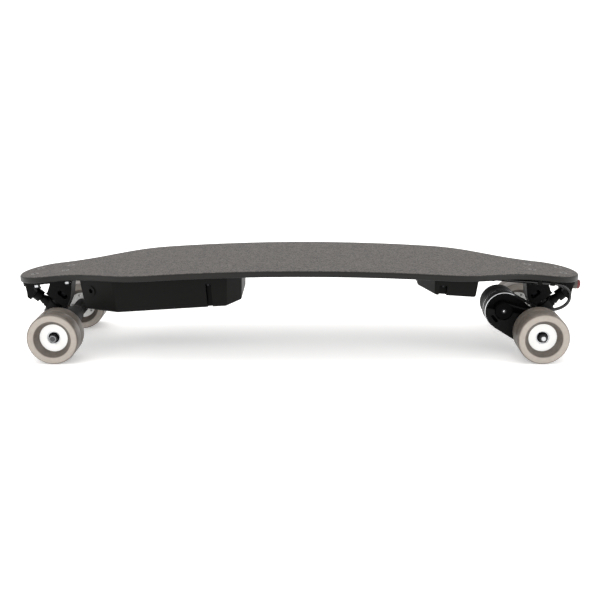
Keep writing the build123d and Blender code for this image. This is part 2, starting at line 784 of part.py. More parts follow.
def make_motor_pulley():
    body = pulley(motor_tip_radius, motor_pulley_teeth, motor_dx, motor_dz)
    return body - at_motor(motor_shaft_radius + fit_gap, flange_out_y - 1, flange_in_y + 1)


wheel_room = wheel_tip_radius + pulley_flange_rise + guard_clearance
motor_room = mount_rim_radius - guard_wall


def make_belt_guard():
    """Cover round the belt, open towards the wheel, with a face plate over the belt's lower run."""
    low_y, high_y = flange_out_y + guard_set_back, mount_out_y
    shell = wrap(motor_room + guard_wall, wheel_room + guard_wall, low_y, high_y)
    face = shell & wrap(motor_room + guard_wall, wheel_room + guard_wall, low_y, low_y + guard_face)
    shell -= wrap(motor_room, wheel_room, low_y - 1, high_y + 1)
    face -= tube_y(wheel_room, low_y - 1, high_y)
    face -= at_motor(motor_tip_radius + pulley_flange_rise + guard_clearance, low_y - 1, high_y)
    middle = Pos(motor_x, low_y, motor_z)
    slot = extrude(SlotOverall(guard_slot_length, guard_slot_width), 6, both=True)
    slot = Rot(0, 90, 0) * Rot(90, 0, 0) * slot
    slot = middle * Rot(0, guard_slot_turn, 0) * Pos(-guard_slot_reach, 0, 0) * slot
    open_top = middle * Rot(0, guard_open_turn, 0) * Pos(0, 0, 100) * Box(400, 40, 200)
    guard = shell + (face - slot - open_top)
    line = degrees(atan2(motor_dz, motor_dx))
    reach = Pos(axle_x, low_y, axle_z) * Rot(0, -line, 0) * Pos(100 + guard_short, 0, 0) * Box(200, 60, 400)
    return guard & reach


# ---------------------------------------------------------------- enclosures

class Case:
    """A drafted box under the deck: its plan, its depth, and the plane that it hangs from."""

    def __init__(self, side, inner_end, inner_corner, outer_corner, outer_end, halves, depth):
        self.side = side
        self.depth = depth
        self.middle = (inner_end + outer_end) / 2
        self.plan = [
            (inner_end, halves[0]),
            (inner_corner, halves[1]),
            (outer_corner, halves[1]),
            (outer_end, halves[2]),
        ]
        x = side * self.middle
        tilt = asin(x / camber_radius)
        self.plane = Plane(
            origin=(x, 0, arch_z(x, 0)),
            x_dir=(cos(tilt), 0, -sin(tilt)),
            z_dir=(sin(tilt), 0, cos(tilt)),
        )

    def place(self, reach, y, z):
        """Location in the case's plane; reach is the distance from the board's middle."""
        return self.plane.location * Pos(self.side * (reach - self.middle), y, z)

    def outline(self, inset, z):
        corners = [(self.side * (reach - self.middle), y) for reach, y in self.plan]
        corners += [(x, -y) for x, y in reversed(corners)]
        face = make_face(Polyline(*corners, close=True))
        if inset:
            face = offset(face, -inset, kind=Kind.INTERSECTION)
        face = fillet(face.vertices(), case_corner - min(inset, case_wall))
        return Pos(0, 0, z) * face

    def block(self, inset, floor):
        """The case's outer or inner form, inset from its outside, down to floor above its bottom."""
        return extrude(self.outline(inset, 0), self.depth - floor, dir=(0, 0, -1), taper=case_draft)


battery = Case(
    -1, battery_inner_end, battery_inner_corner, battery_outer_corner, battery_outer_end,
    (battery_inner_half, battery_half_width, battery_outer_half), battery_depth,
)
esc = Case(
    1, esc_inner_end, esc_inner_corner, esc_outer_corner, esc_outer_end,
    (esc_inner_half, esc_half_width, esc_outer_half), esc_depth,
)
screw_set_in = 7.0           # of a case screw from the case's upper edge
battery_screws = (149.0, 28.0, 9.0, 17.0)   # side pair from the board's middle, end pair from the
esc_screws = (243.0, 30.0, 13.0, 14.5)      # centre line, pocket width, and deck to the screw's seat


def case_screw_set(case, screws):
    """Place, outward direction, pocket width and seat of the screws at a case's sides and outer end."""
    side_reach, end_y, width, seat = screws
    edge = case.plan[1][1] - screw_set_in
    end = case.plan[3][0] - screw_set_in
    places = [(side_reach, side * edge, (0, side)) for side in (-1, 1)]
    places += [(end, side * end_y, (case.side, 0)) for side in (-1, 1)]
    return [(case.side * (reach - case.middle), y, outward, width, seat) for reach, y, outward in places]


all_case_screws = [(battery, battery_screws), (esc, esc_screws)]


def case_screw_holes(radius, low, high):
    hole = rod(radius, low, high)
    return [
        case.plane.location * Pos(x, y, 0) * hole
        for case, screws in all_case_screws
        for x, y, _, _, _ in case_screw_set(case, screws)
    ]


def above_deck(height):
    reach = deck_length / 2
    return arched_band(height, height + 60, -reach, reach, -deck_width, deck_width)


def make_case(case, screws):
    body = case.block(0, 0)
    body = fillet(body.faces().sort_by(Axis.Z)[0].edges(), case_bottom_round)
    shell = body - case.block(case_wall, case_wall)
    reach = 2 * screw_set_in + 4
    for x, y, (out_x, out_y), width, seat in case_screw_set(case, screws):
        across, along = (width, reach) if out_y else (reach, width)
        wall = 2 * case_wall
        boss = Pos(x, y, -case.depth / 2) * Box(
            across + wall * abs(out_y), along + wall * abs(out_x), case.depth
        )
        notch = Pos(x + 2 * out_x, y + 2 * out_y, -case.depth / 2 - seat) * Box(across, along, case.depth)
        notch = fillet(notch.edges().filter_by(Axis.Z), 2.0)
        shell = shell + (boss & body) - notch
        shell -= Pos(x, y, 0) * rod(case_screw_radius + 0.3, -seat - 1, 5)
    return case.plane.location * shell


def facet_plane(case, side, share, depth):
    """On the outside of the case's outer slanted wall; share is 0 at its corner and 1 at its end."""
    (corner_x, corner_y), (end_x, end_y) = case.plan[2], case.plan[3]
    length = hypot(end_x - corner_x, end_y - corner_y)
    out_x, out_y = (corner_y - end_y) / length, (end_x - corner_x) / length
    lean = radians(case_draft)
    reach = corner_x + share * (end_x - corner_x) - depth * tan(lean) * out_x
    y = corner_y + share * (end_y - corner_y) - depth * tan(lean) * out_y
    local = Plane(
        origin=(case.side * (reach - case.middle), side * y, -depth),
        x_dir=(case.side * out_y, -side * out_x, 0),
        z_dir=(case.side * out_x * cos(lean), side * out_y * cos(lean), -sin(lean)),
    )
    return Plane(case.plane.location * local.location)


socket_plane = facet_plane(battery, -1, 0.68, 23.0)
button_plane = facet_plane(battery, 1, 0.6, 23.0)
fitting_depth = 12.0         # of the socket and the button's bezel inside the wall
fitting_rim = 1.4


def make_battery_case():
    shell = make_case(battery, battery_screws)
    for plane in (socket_plane, button_plane):
        shell -= plane.location * rod(socket_radius + fit_gap, -case_wall - 5, 5)
    return shell - above_deck(-seal_thickness)


def make_esc_case():
    shell = make_case(esc, esc_screws)
    shell -= cable_exit.location * rod(cable_radius + 1.6, -case_wall - 5, 5)
    return shell - above_deck(-seal_thickness)


def make_case_seals():
    """Foam gasket between the rim of each case and the deck."""
    seals = Part()
    strip = arched_band(-seal_thickness, 0, -deck_length / 2, deck_length / 2, -deck_width, deck_width)
    for case in (battery, esc):
        ring = extrude(case.outline(1.0, -20), 40) - extrude(case.outline(case_wall + 2.5, -21), 42)
        seals += case.plane.location * ring & strip
    return seals - case_screw_holes(case_screw_radius + 0.6, -10, 10)


def make_case_screws():
    made = Part()
    for case, screws in all_case_screws:
        for x, y, _, _, seat in case_screw_set(case, screws):
            head = rod(case_screw_head, -seat - 3.0, -seat) - extrude(
                Pos(0, 0, -seat - 3.1) * RegularPolygon(1.5, 6), 1.9
            )
            shank = rod(case_screw_radius, -seat - 0.5, case_screw_bite)
            made += case.plane.location * Pos(x, y, 0) * (head + shank)
    return made


def make_charge_socket():
    body = rod(socket_radius, -fitting_depth, 0) + rod(socket_radius + 2, 0, fitting_rim)
    body = fillet(body.edges().group_by(Axis.Z)[-1], 0.6)
    body -= rod(socket_mouth_radius, fitting_rim - socket_mouth_depth, fitting_rim + 1)
    body -= rod(2.8, fitting_rim - socket_mouth_depth - 6, fitting_rim)
    body += rod(1.0, fitting_rim - socket_mouth_depth - 6.5, fitting_rim - socket_mouth_depth - 0.5)
    return socket_plane.location * body


def make_button_bezel():
    bore = button_radius + running_gap
    bezel = rod(socket_radius, -fitting_depth, 0) + rod(socket_radius + 2, 0, fitting_rim)
    bezel = fillet(bezel.edges().group_by(Axis.Z)[-1], 0.6)
    return button_plane.location * (bezel - rod(bore, -fitting_depth + 1, fitting_rim + 1))


def make_power_button():
    button = rod(button_radius, -fitting_depth + 1 + button_travel + 0.4, fitting_rim + button_travel + 0.5)
    button = fillet(button.edges().group_by(Axis.Z)[-1], 0.8)
    return button_plane.location * button


def cell_reach(column):
    return battery_inner_corner + 22 + column * cell_pitch


def make_battery_cells():
    low = -battery_depth + case_wall + 0.3 + cell_radius
    cell = along_y(rod(cell_radius, -cell_length / 2, cell_length / 2))
    cap = along_y(rod(cell_radius * 0.45, cell_length / 2, cell_length / 2 + 0.8))
    pack = Part()
    for column in range(cells_along):
        for row in (-1, 1):
            for layer in (0, 1):
                spot = battery.place(
                    cell_reach(column), row * (cell_length / 2 + 1.2), low + layer * (2 * cell_radius + 0.3)
                )
                pack += spot * (cell + (cap if row > 0 else mirror(cap, about=Plane.XZ)))
    return pack


def circuit_board(length, width, parts):
    """A board on short feet at z = 0, with parts as (x, y, length, width, height) blocks on its top."""
    thickness = 1.6
    feet = 3.0
    board = Pos(0, 0, feet + thickness / 2) * Box(length, width, thickness)
    for x in (-length / 2 + 4, length / 2 - 4):
        for y in (-width / 2 + 4, width / 2 - 4):
            board += Pos(x, y, 0) * rod(2.5, 0, feet)
    for x, y, part_length, part_width, height in parts:
        block = Box(part_length, part_width, height)
        board += Pos(x, y, feet + thickness + height / 2) * block
    return board


def make_bms_board():
    chips = [(-6, y, 14, 9, 4.5) for y in range(-36, 37, 12)] + [(12, 0, 9, 60, 6.0)]
    board = circuit_board(38, 96, chips)
    spot = battery.place(cell_reach(cells_along) + 13, 0, -battery_depth + case_wall + 0.1)
    return spot * board


def make_esc_board():
    chips = [(-12, y, 10, 14, 4.5) for y in range(-45, 46, 18)] + [(8, y, 16, 18, 8) for y in (-36, 0, 36)]
    spot = esc.place((esc_inner_corner + esc_outer_corner) / 2 - 4, 0, -esc_depth + case_wall + 0.1)
    return spot * circuit_board(48, 120, chips)


def make_link_cable():
    """Flat cable in the deck's routed channel, from one case to the other."""
    high = channel_depth - 0.1
    return arched_band(
        high - link_cable_thickness, high, -battery_inner_corner - 26, esc_inner_corner + 26,
        -link_cable_width / 2, link_cable_width / 2,
    )


# ---------------------------------------------------------------- tail light and motor cable

light_drop = 11.0            # of the light's centre below the deck's underside
light_place = base_plane.location * Pos(plate_outer, 0, -light_drop)


def make_tail_light_body():
    body = along_x(rod(light_radius, 0.05, light_body_length))
    body = fillet(body.edges().sort_by(Axis.X)[0:1], 1.0)
    return light_place * (body - along_x(rod(light_radius - 1.5, light_body_length - 3, light_body_length + 1)))


def make_tail_light_lens():
    lens = along_x(rod(light_radius - 1.55, light_body_length - 2.9, light_body_length + light_lens_length))
    lens += along_x(rod(light_radius - 0.3, light_body_length + 0.05, light_body_length + light_lens_length))
    lens = fillet(lens.edges().sort_by(Axis.X)[-1:], 3.0)
    return light_place * lens


cable_exit_y = -50.0
cable_exit_drop = 7.0
cable_exit = Plane(
    origin=esc.place(esc_outer_end - 0.6, cable_exit_y, -cable_exit_drop).position,
    z_dir=(1, 0, 0),
)
cable_route = [
    (296.0, -50.0, 126.0),
    (318.0, -50.5, 126.2),
    (340.0, -56.0, 125.6),
    (368.0, -57.5, 122.9),
    (396.0, -52.0, 119.8),
    (422.0, -48.5, 117.0),
    (441.0, -46.8, 115.3),
    (455.0, -46.2, 109.0),
    (462.8, -46.0, 97.5),
    (461.4, -46.6, 84.5),
    (451.5, -47.6, 75.0),
    (437.0, -48.6, 70.4),
    (420.0, -49.2, 69.6),
    (400.0, -49.0, 71.6),
    (378.2, -48.8, 73.5),
]
clip_runs = (1, 4, 5)        # the runs of the route that a clip holds to the deck


def cable_radii():
    """The largest bend that fits each corner of the cable's route."""
    points = [Vector(*point) for point in cable_route]
    radii = []
    for before, corner, after in zip(points, points[1:], points[2:]):
        run_in, run_out = corner - before, after - corner
        half_turn = radians(run_in.get_angle(run_out)) / 2
        radii.append(0.45 * min(run_in.length, run_out.length) / tan(half_turn))
    return radii


def make_motor_cable():
    radii = cable_radii()
    print("motor cable bend radii:", [round(radius) for radius in radii])
    path = FilletPolyline(*cable_route, radius=radii)
    section = Plane(origin=path @ 0, z_dir=path % 0) * Circle(cable_radius)
    cable = sweep(section, path=path)
    print("motor cable: %.1f mm long, volume / (section x length) = %.5f" % (
        path.length, cable.volume / (pi * cable_radius ** 2 * path.length)))
    return cable


def make_cable_clips():
    clips = Part()
    for run in clip_runs:
        start, end = Vector(*cable_route[run]), Vector(*cable_route[run + 1])
        middle = (start + end) * 0.5
        along = (end - start).normalized()
        plane = Plane(origin=middle, x_dir=Vector(0, 1, 0).cross(along).cross(along), z_dir=along)
        drop = cable_radius + 1.4
        clip = plane.location * (rod(drop, -3.5, 3.5))
        lug = Pos(middle.X, middle.Y, middle.Z + 10) * Box(7, 2 * drop, 20)
        clip = clip + lug - plane.location * rod(cable_radius + fit_gap, -10, 10)
        clips += clip - above_deck(0)
    return clips


# ---------------------------------------------------------------- every piece, written as its own file

def wheel_set(name, side, place):
    """Tyre, core and bearings of one wheel; place moves a rear-truck shape to its own truck."""
    return {
        name + "_tyre": place(at_wheel(wheel_tyre(), side)),
        name + "_core": place(at_wheel(wheel_core(-side), side)),
        name + "_bearings": place(at_wheel(wheel_bearings(), side)),
    }


def rear(shape):
    return shape


def make_all():
    nodes = {
        "deck": make_deck(),
        "grip_tape": make_grip_tape(),
        "deck_bolts": make_deck_bolts(),
        "deck_bolt_nuts": make_deck_bolt_nuts(),
        "riser_pads": make_riser(),
        "rear_baseplate": make_baseplate(),
        "front_baseplate": front(make_baseplate()),
        "pivot_cups": make_pivot_cups(),
        "kingpins": make_kingpins(),
        "kingpin_nuts": make_kingpin_nuts(),
        "rear_bushings": make_bushings(),
        "front_bushings": front(make_bushings()),
        "bushing_washers": make_bushing_washers(),
        "battery_case": make_battery_case(),
        "battery_cells": make_battery_cells(),
        "bms_board": make_bms_board(),
        "charge_socket": make_charge_socket(),
        "button_bezel": make_button_bezel(),
        "power_button": make_power_button(),
        "esc_case": make_esc_case(),
        "esc_board": make_esc_board(),
        "case_seals": make_case_seals(),
        "case_screws": make_case_screws(),
        "link_cable": make_link_cable(),
        "tail_light_body": make_tail_light_body(),
        "tail_light_lens": make_tail_light_lens(),
        "motor_cable": make_motor_cable(),
        "cable_clips": make_cable_clips(),
        "wheel_pulley": make_wheel_pulley(),
        "pulley_screws": make_pulley_screws(),
        "drive_belt": make_belt(),
        "belt_guard": make_belt_guard(),
        "motor_mount": make_motor_mount(),
        "motor_screws": make_motor_screws(),
        "motor_base": make_motor_base(),
        "motor_can": make_motor_can(),
        "motor_shaft": make_motor_shaft(),
        "motor_pulley": make_motor_pulley(),
    }
    for truck, place in (("rear", rear), ("front", front)):
        nodes[truck + "_hanger"] = place(make_hanger())
        nodes[truck + "_axle"] = place(make_axle())
        nodes[truck + "_axle_nuts"] = place(make_axle_nuts())
        nodes[truck + "_axle_spacers"] = place(make_axle_spacers())
        for hand, side in (("left", -1), ("right", 1)):
            nodes.update(wheel_set(truck + "_" + hand, side, place))
    return nodes


os.makedirs("parts", exist_ok=True)
for node, shape in make_all().items():
    export_step(shape, "parts/" + node + ".step")


def show(name, *values):
    print(name, *["%.6g" % value for value in values])


show("axle x z", axle_x, axle_z)
show("steering axis x z", cos(steer_tilt), sin(steer_tilt))
show("wheel y", wheel_y)
show("motor x z", motor_x, motor_z)
show("centre distance", centre_distance)
show("button at", *button_plane.origin)
show("button outward", *button_plane.z_dir)
show("socket at", *socket_plane.origin)
show("socket outward", *socket_plane.z_dir)
show("deck top middle z", arch_z(0, bolt_top))
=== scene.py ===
import bpy
from math import atan2, pi, radians
from mathutils import Matrix, Vector


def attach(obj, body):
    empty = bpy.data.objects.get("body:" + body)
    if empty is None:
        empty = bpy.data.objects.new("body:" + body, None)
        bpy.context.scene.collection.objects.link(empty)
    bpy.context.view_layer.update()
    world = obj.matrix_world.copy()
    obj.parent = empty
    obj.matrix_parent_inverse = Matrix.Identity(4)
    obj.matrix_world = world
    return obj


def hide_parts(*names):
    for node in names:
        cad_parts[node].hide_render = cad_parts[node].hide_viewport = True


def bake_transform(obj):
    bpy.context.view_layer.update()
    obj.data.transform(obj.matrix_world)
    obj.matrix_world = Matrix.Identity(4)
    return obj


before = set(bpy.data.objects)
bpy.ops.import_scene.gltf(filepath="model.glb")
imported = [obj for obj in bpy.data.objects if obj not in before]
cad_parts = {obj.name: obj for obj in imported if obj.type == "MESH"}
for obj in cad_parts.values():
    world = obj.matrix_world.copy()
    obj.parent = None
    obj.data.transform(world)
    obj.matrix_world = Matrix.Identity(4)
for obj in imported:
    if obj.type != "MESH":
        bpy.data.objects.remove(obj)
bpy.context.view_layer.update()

bpy.ops.object.select_all(action="DESELECT")
mm = 0.001


# ---- Studio ----
# The board stands on a seamless white floor under broad, soft lamps.
# The camera looks slightly down at its left side, from about 1.8 m away.

def linear(code):
    """The linear colour, as a shader takes it, of an sRGB hex code."""
    channels = [int(code[i:i + 2], 16) / 255 for i in (1, 3, 5)]
    return [*[c / 12.92 if c <= 0.04045 else ((c + 0.055) / 1.055) ** 2.4 for c in channels], 1.0]


def add_node(material, kind, inputs={}, **settings):
    """Adds one shader node. An input has a name or number, and is a value or another node's output."""
    node = material.node_tree.nodes.new("ShaderNode" + kind)
    for name, value in settings.items():
        setattr(node, name, value)
    for name, value in inputs.items():
        if isinstance(value, bpy.types.NodeSocket):
            material.node_tree.links.new(value, node.inputs[name])
        else:
            node.inputs[name].default_value = value
    return node


def new_finish(name, inputs):
    """Starts a material with one Principled shader. Returns both, for patterns to be linked to the shader."""
    material = bpy.data.materials.new(name)
    material.use_nodes = True
    shader = material.node_tree.nodes["Principled BSDF"]
    for socket, value in inputs.items():
        shader.inputs[socket].default_value = value
    return material, shader


bpy.context.scene.view_settings.view_transform = "Standard"
world = bpy.data.worlds.new("white_studio")
world.use_nodes = True
world.node_tree.nodes["Background"].inputs["Color"].default_value = linear("#ffffff")
world.node_tree.nodes["Background"].inputs["Strength"].default_value = 1.12
bpy.context.scene.world = world

camera_place = Vector((0.0324, -1.6987, 0.5203))
camera_turn, camera_pitch, camera_roll = radians(0.994), radians(14.673), radians(-0.322)
bpy.ops.object.camera_add()
camera = bpy.context.object
camera.data.lens = 60
camera.data.sensor_width = 36
camera.matrix_world = (
    Matrix.Translation(camera_place)
    @ Matrix.Rotation(camera_turn, 4, "Z")
    @ Matrix.Rotation(pi / 2 - camera_pitch, 4, "X")
    @ Matrix.Rotation(camera_roll, 4, "Z")
)
bpy.context.scene.camera = camera

bpy.ops.mesh.primitive_plane_add(size=24, location=(0, 0, 0))
floor = bpy.context.object
floor.name = "floor"
white_floor, shader = new_finish("white_studio_floor", {
    "Base Color": linear("#f7f6f5"), "Roughness": 0.9, "Specular IOR Level": 0.1,
    "Emission Color": linear("#ffffff"), "Emission Strength": 0.3})
floor.data.materials.append(white_floor)

for name, place, turn, size, power in (
    ("overhead_softbox", (-0.2, 0.6, 2.2), (-14, 0, 0), 2.4, 20),
    ("left_softbox", (-2.2, -1.6, 1.6), (55, 0, -52), 1.2, 14),
    ("right_softbox", (2.4, -1.0, 1.2), (62, 0, 66), 1.2, 14),
):
    bpy.ops.object.light_add(type="AREA", location=place, rotation=[radians(angle) for angle in turn])
    lamp = bpy.context.object
    lamp.name = name
    lamp.data.size = size
    lamp.data.energy = power


# ---- Deck ----
# Seven plies of maple pressed to an arch, stained and lacquered black.
# The routed edge is rounded and shows the plies as faint lines.

def dress(material, *names):
    """Gives CAD pieces their finish."""
    for name in names:
        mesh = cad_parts[name].data
        mesh.materials.clear()
        mesh.materials.append(material)


def grain(size):
    """Scale of a noise or cell pattern whose spots are this many millimetres across."""
    return 1 / (size * mm)


# The lacquer is thin, so the wood's long fibres still show in it as faint streaks under a soft shine.
deck_thickness = 9.5 * mm
plies = 7
ply_thickness = deck_thickness / plies
arch_centre = (0, 0, -3.6697)        # metres: the middle of the circle that the deck is pressed to
lacquered_maple, shader = new_finish("lacquered_black_maple_ply", {
    "Roughness": 0.4, "Specular IOR Level": 0.25, "Coat Weight": 0.06, "Coat Roughness": 0.2})
place = add_node(lacquered_maple, "TexCoord").outputs["Object"]
flat_place = add_node(lacquered_maple, "VectorMath", {
    0: place, 1: (1, 0, 1)}, operation="MULTIPLY").outputs[0]
from_centre = add_node(lacquered_maple, "VectorMath", {0: flat_place, 1: arch_centre}, operation="DISTANCE")
height = from_centre.outputs["Value"]
layer = add_node(lacquered_maple, "Math", {0: height, 1: ply_thickness}, operation="DIVIDE").outputs[0]
seam = add_node(lacquered_maple, "Math", {0: layer, 1: 1.0}, operation="PINGPONG").outputs[0]
stretched = add_node(lacquered_maple, "Mapping", {"Vector": place, "Scale": (0.04, 1, 1)}).outputs[0]
fibres = add_node(lacquered_maple, "TexNoise", {
    "Vector": stretched, "Scale": grain(1.2), "Detail": 4}).outputs["Fac"]
tone = add_node(lacquered_maple, "Mix", {0: seam, 2: 0.35, 3: 0.65}, data_type="FLOAT").outputs[0]
tone = add_node(lacquered_maple, "Math", {0: tone, 1: fibres}, operation="MULTIPLY").outputs[0]
colour = add_node(lacquered_maple, "Mix", {
    0: tone, 6: linear("#070706"), 7: linear("#191714")}, data_type="RGBA").outputs[2]
bump = add_node(lacquered_maple, "Bump", {
    "Height": fibres, "Strength": 0.25, "Distance": 0.15 * mm}).outputs[0]
lacquered_maple.node_tree.links.new(colour, shader.inputs["Base Color"])
lacquered_maple.node_tree.links.new(bump, shader.inputs["Normal"])
dress(lacquered_maple, "deck")


# ---- Grip tape ----
# A sheet of coarse silicon carbide grit bonded to black paper, stuck over the whole top of the deck
# and trimmed just inside its edge. Each grain has its own facet, so it looks grey and glitters finely.

grip, shader = new_finish("silicon_carbide_grip_tape", {"Roughness": 0.75, "Specular IOR Level": 0.45})
place = add_node(grip, "TexCoord").outputs["Object"]
# The real grit is about 0.5 mm across. It is drawn at 1.5 mm, so that it shows from across a room.
grit = add_node(grip, "TexVoronoi", {"Vector": place, "Scale": grain(1.5)})
speck = add_node(grip, "SeparateColor", {0: grit.outputs["Color"]}).outputs[0]
clumps = add_node(grip, "TexNoise", {
    "Vector": place, "Scale": grain(9), "Detail": 5, "Roughness": 0.65}).outputs["Fac"]
tone = add_node(grip, "Mix", {0: 0.45, 2: speck, 3: clumps}, data_type="FLOAT").outputs[0]
spread = add_node(grip, "MapRange", {0: tone, 1: 0.2, 2: 0.8}).outputs[0]
colour = add_node(grip, "Mix", {
    0: spread, 6: linear("#201e1d"), 7: linear("#5f5a56")}, data_type="RGBA").outputs[2]
bump = add_node(grip, "Bump", {"Height": tone, "Strength": 0.55, "Distance": 0.5 * mm}).outputs[0]
grip.node_tree.links.new(colour, shader.inputs["Base Color"])
grip.node_tree.links.new(bump, shader.inputs["Normal"])
dress(grip, "grip_tape")


# ---- Deck bolts and nuts ----
# Eight countersunk hexagon socket bolts of blackened steel pass through the deck and both trucks' plates.
# Each sits in a turned cup washer of phosphated steel, let into the grip tape.
# The lock nuts under the plates are zinc plated.

def metal(name, code, roughness, spot):
    """A metal whose polish varies over spots of this many millimetres."""
    material, shader = new_finish(name, {"Base Color": linear(code), "Metallic": 1.0})
    place = add_node(material, "TexCoord").outputs["Object"]
    wear = add_node(material, "TexNoise", {"Vector": place, "Scale": grain(spot), "Detail": 4}).outputs["Fac"]
    rough = add_node(material, "MapRange", {0: wear, 3: roughness * 0.8, 4: roughness * 1.3}).outputs[0]
    bump = add_node(material, "Bump", {"Height": wear, "Strength": 0.2, "Distance": 0.05 * mm}).outputs[0]
    material.node_tree.links.new(rough, shader.inputs["Roughness"])
    material.node_tree.links.new(bump, shader.inputs["Normal"])
    return material


def turned(name, profile, place, sides):
    """A piece turned about an axis: (radius, height) pairs in millimetres, in order round its half section.
    A section that starts and ends on the axis is solid there, and any other is a ring."""
    bpy.ops.object.select_all(action="DESELECT")
    radius, height = profile[0]
    bpy.ops.mesh.primitive_circle_add(vertices=sides, radius=radius * mm, location=(0, 0, height * mm))
    piece = bpy.context.object
    piece.name = piece.data.name = name
    bpy.ops.object.transform_apply(location=True, rotation=True, scale=True)
    bpy.ops.object.mode_set(mode="EDIT")
    bpy.ops.mesh.select_all(action="SELECT")
    steps = list(zip(profile, profile[1:]))
    if radius > on_axis:
        steps.append((profile[-1], profile[0]))
    for (radius, height), (next_radius, next_height) in steps:
        rise = (0, 0, (next_height - height) * mm)
        bpy.ops.mesh.extrude_region_move(TRANSFORM_OT_translate={"value": rise})
        bpy.ops.transform.resize(value=(next_radius / radius, next_radius / radius, 1))
    bpy.ops.mesh.select_all(action="SELECT")
    bpy.ops.mesh.remove_doubles(threshold=2 * on_axis * mm)
    bpy.ops.mesh.normals_make_consistent(inside=False)
    bpy.ops.object.mode_set(mode="OBJECT")
    settle(piece, place)
    return piece


def settle(piece, place):
    """Moves a finished piece to its place, in its mesh."""
    piece.matrix_world = place
    bpy.ops.object.transform_apply(location=True, rotation=True, scale=True)
    bpy.ops.object.shade_smooth_by_angle(angle=radians(38))


def made_of(piece, material, body):
    """Gives a new piece its finish and the body that it moves with."""
    piece.data.materials.append(material)
    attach(piece, body)


def at(x, y, z):
    """The place of a point given in millimetres."""
    return Matrix.Translation((x * mm, y * mm, z * mm))


on_axis = 0.001          # mm: a radius this small closes a section on its axis
# Black oxide keeps a dark metallic sheen, zinc plating is pale and bright, and phosphate leaves a dull grey.
blackened_steel = metal("black_oxide_steel", "#2a2a2c", 0.36, 1.5)
zinc_steel = metal("zinc_plated_steel", "#c2c4c6", 0.3, 1.5)
dull_steel = metal("phosphated_steel", "#7d7975", 0.42, 1.5)
dress(blackened_steel, "deck_bolts")
dress(zinc_steel, "deck_bolt_nuts")
bolt_rows = ((401.834, 134.524), (455.474, 128.475))        # x and z of the washers' seats
bolt_side = 20.64
deck_fall, deck_run = 0.112058, 0.993702        # the deck's slope at the bolts, as a unit vector
bolt_tilt = atan2(deck_fall, deck_run)
cup_washer = ((4.75, -0.3), (5.0, 0.2), (5.6, 0.3), (6.6, 0.02), (6.6, -0.25), (4.75, -0.4))
for end, toward in (("rear", 1), ("front", -1)):
    number = 0
    for x, z in bolt_rows:
        for y in (-bolt_side, bolt_side):
            number += 1
            place = at(toward * x, y, z) @ Matrix.Rotation(toward * bolt_tilt, 4, "Y")
            washer = turned(f"{end}_cup_washer_{number}", cup_washer, place, 48)
            made_of(washer, dull_steel, "board")


# ---- Riser pads ----
# Pads of hard black rubber between the deck and each truck, cut to the baseplate's shape.
# The deck bolts clamp them, and they keep the wheels clear of the deck.
# The pivot cups are of the same rubber.

def coat(name, code, roughness, spot, depth, strength=0.5, **more):
    """A coating, plastic or rubber with a fine moulded or sprayed texture: spots and depth in millimetres."""
    material, shader = new_finish(name, {"Base Color": linear(code), "Roughness": roughness, **more})
    place = add_node(material, "TexCoord").outputs["Object"]
    skin = add_node(material, "TexNoise", {"Vector": place, "Scale": grain(spot), "Detail": 3}).outputs["Fac"]
    bump = add_node(material, "Bump", {
        "Height": skin, "Strength": strength, "Distance": depth * mm}).outputs[0]
    rough = add_node(material, "MapRange", {0: skin, 3: roughness * 0.85, 4: roughness * 1.15}).outputs[0]
    material.node_tree.links.new(rough, shader.inputs["Roughness"])
    material.node_tree.links.new(bump, shader.inputs["Normal"])
    return material


# Moulded rubber is matt, and its fine skin breaks up what little it reflects.
dark = {"Specular IOR Level": 0.1}
black_rubber = coat("black_rubber", "#0d0d0d", 0.7, 0.9, 0.1, **dark)
dress(black_rubber, "riser_pads", "pivot_cups")


# ---- Trucks ----
# Baseplates and hangers are cast aluminium, blasted and powder coated black.
# The coat has a slight orange peel, and shines softly along the rounded casting edges.

axle_x, axle_height = 403.12, 42.5
powder_coat = coat("powder_coated_cast_aluminium", "#070707", 0.5, 1.6, 0.08, **dark)
dress(powder_coat, "rear_baseplate", "front_baseplate", "rear_hanger", "front_hanger")
dress(blackened_steel, "kingpins", "kingpin_nuts")
dress(zinc_steel, "bushing_washers", "rear_axle_spacers", "front_axle_spacers")
# Turned steel keeps a fine and slightly uneven polish, which breaks up the axle's highlight. The front axle
# takes a darker steel than the rear one's zinc plating, as painted shade.
shaded_front_axle_steel = metal("shaded_turned_axle_steel", "#4c4c4e", 0.3, 1.0)
dress(shaded_front_axle_steel, "front_axle")
dress(zinc_steel, "rear_axle")
dress(blackened_steel, "rear_axle_nuts", "front_axle_nuts")


# ---- Bushings ----
# Each kingpin squeezes a barrel of black cast urethane above the hanger and a cone below it.
# They bulge slightly under the load.

# Cast urethane comes smooth from its mould, so it has a softer, wider shine than rubber.
urethane_black = coat("cast_black_urethane", "#0e0e0e", 0.34, 2.5, 0.05, **dark)
barrel = (
    (4.95, 2), (11.6, 2), (12.6, 2.5), (13.0, 3.6), (13.2, 8),
    (13.0, 12.4), (12.6, 13.5), (11.6, 14), (4.95, 14),
)
cone = ((4.95, -15), (9.4, -15), (10.3, -14.3), (11.2, -12), (12.7, -7.5), (12.9, -6), (12.2, -5), (4.95, -5))
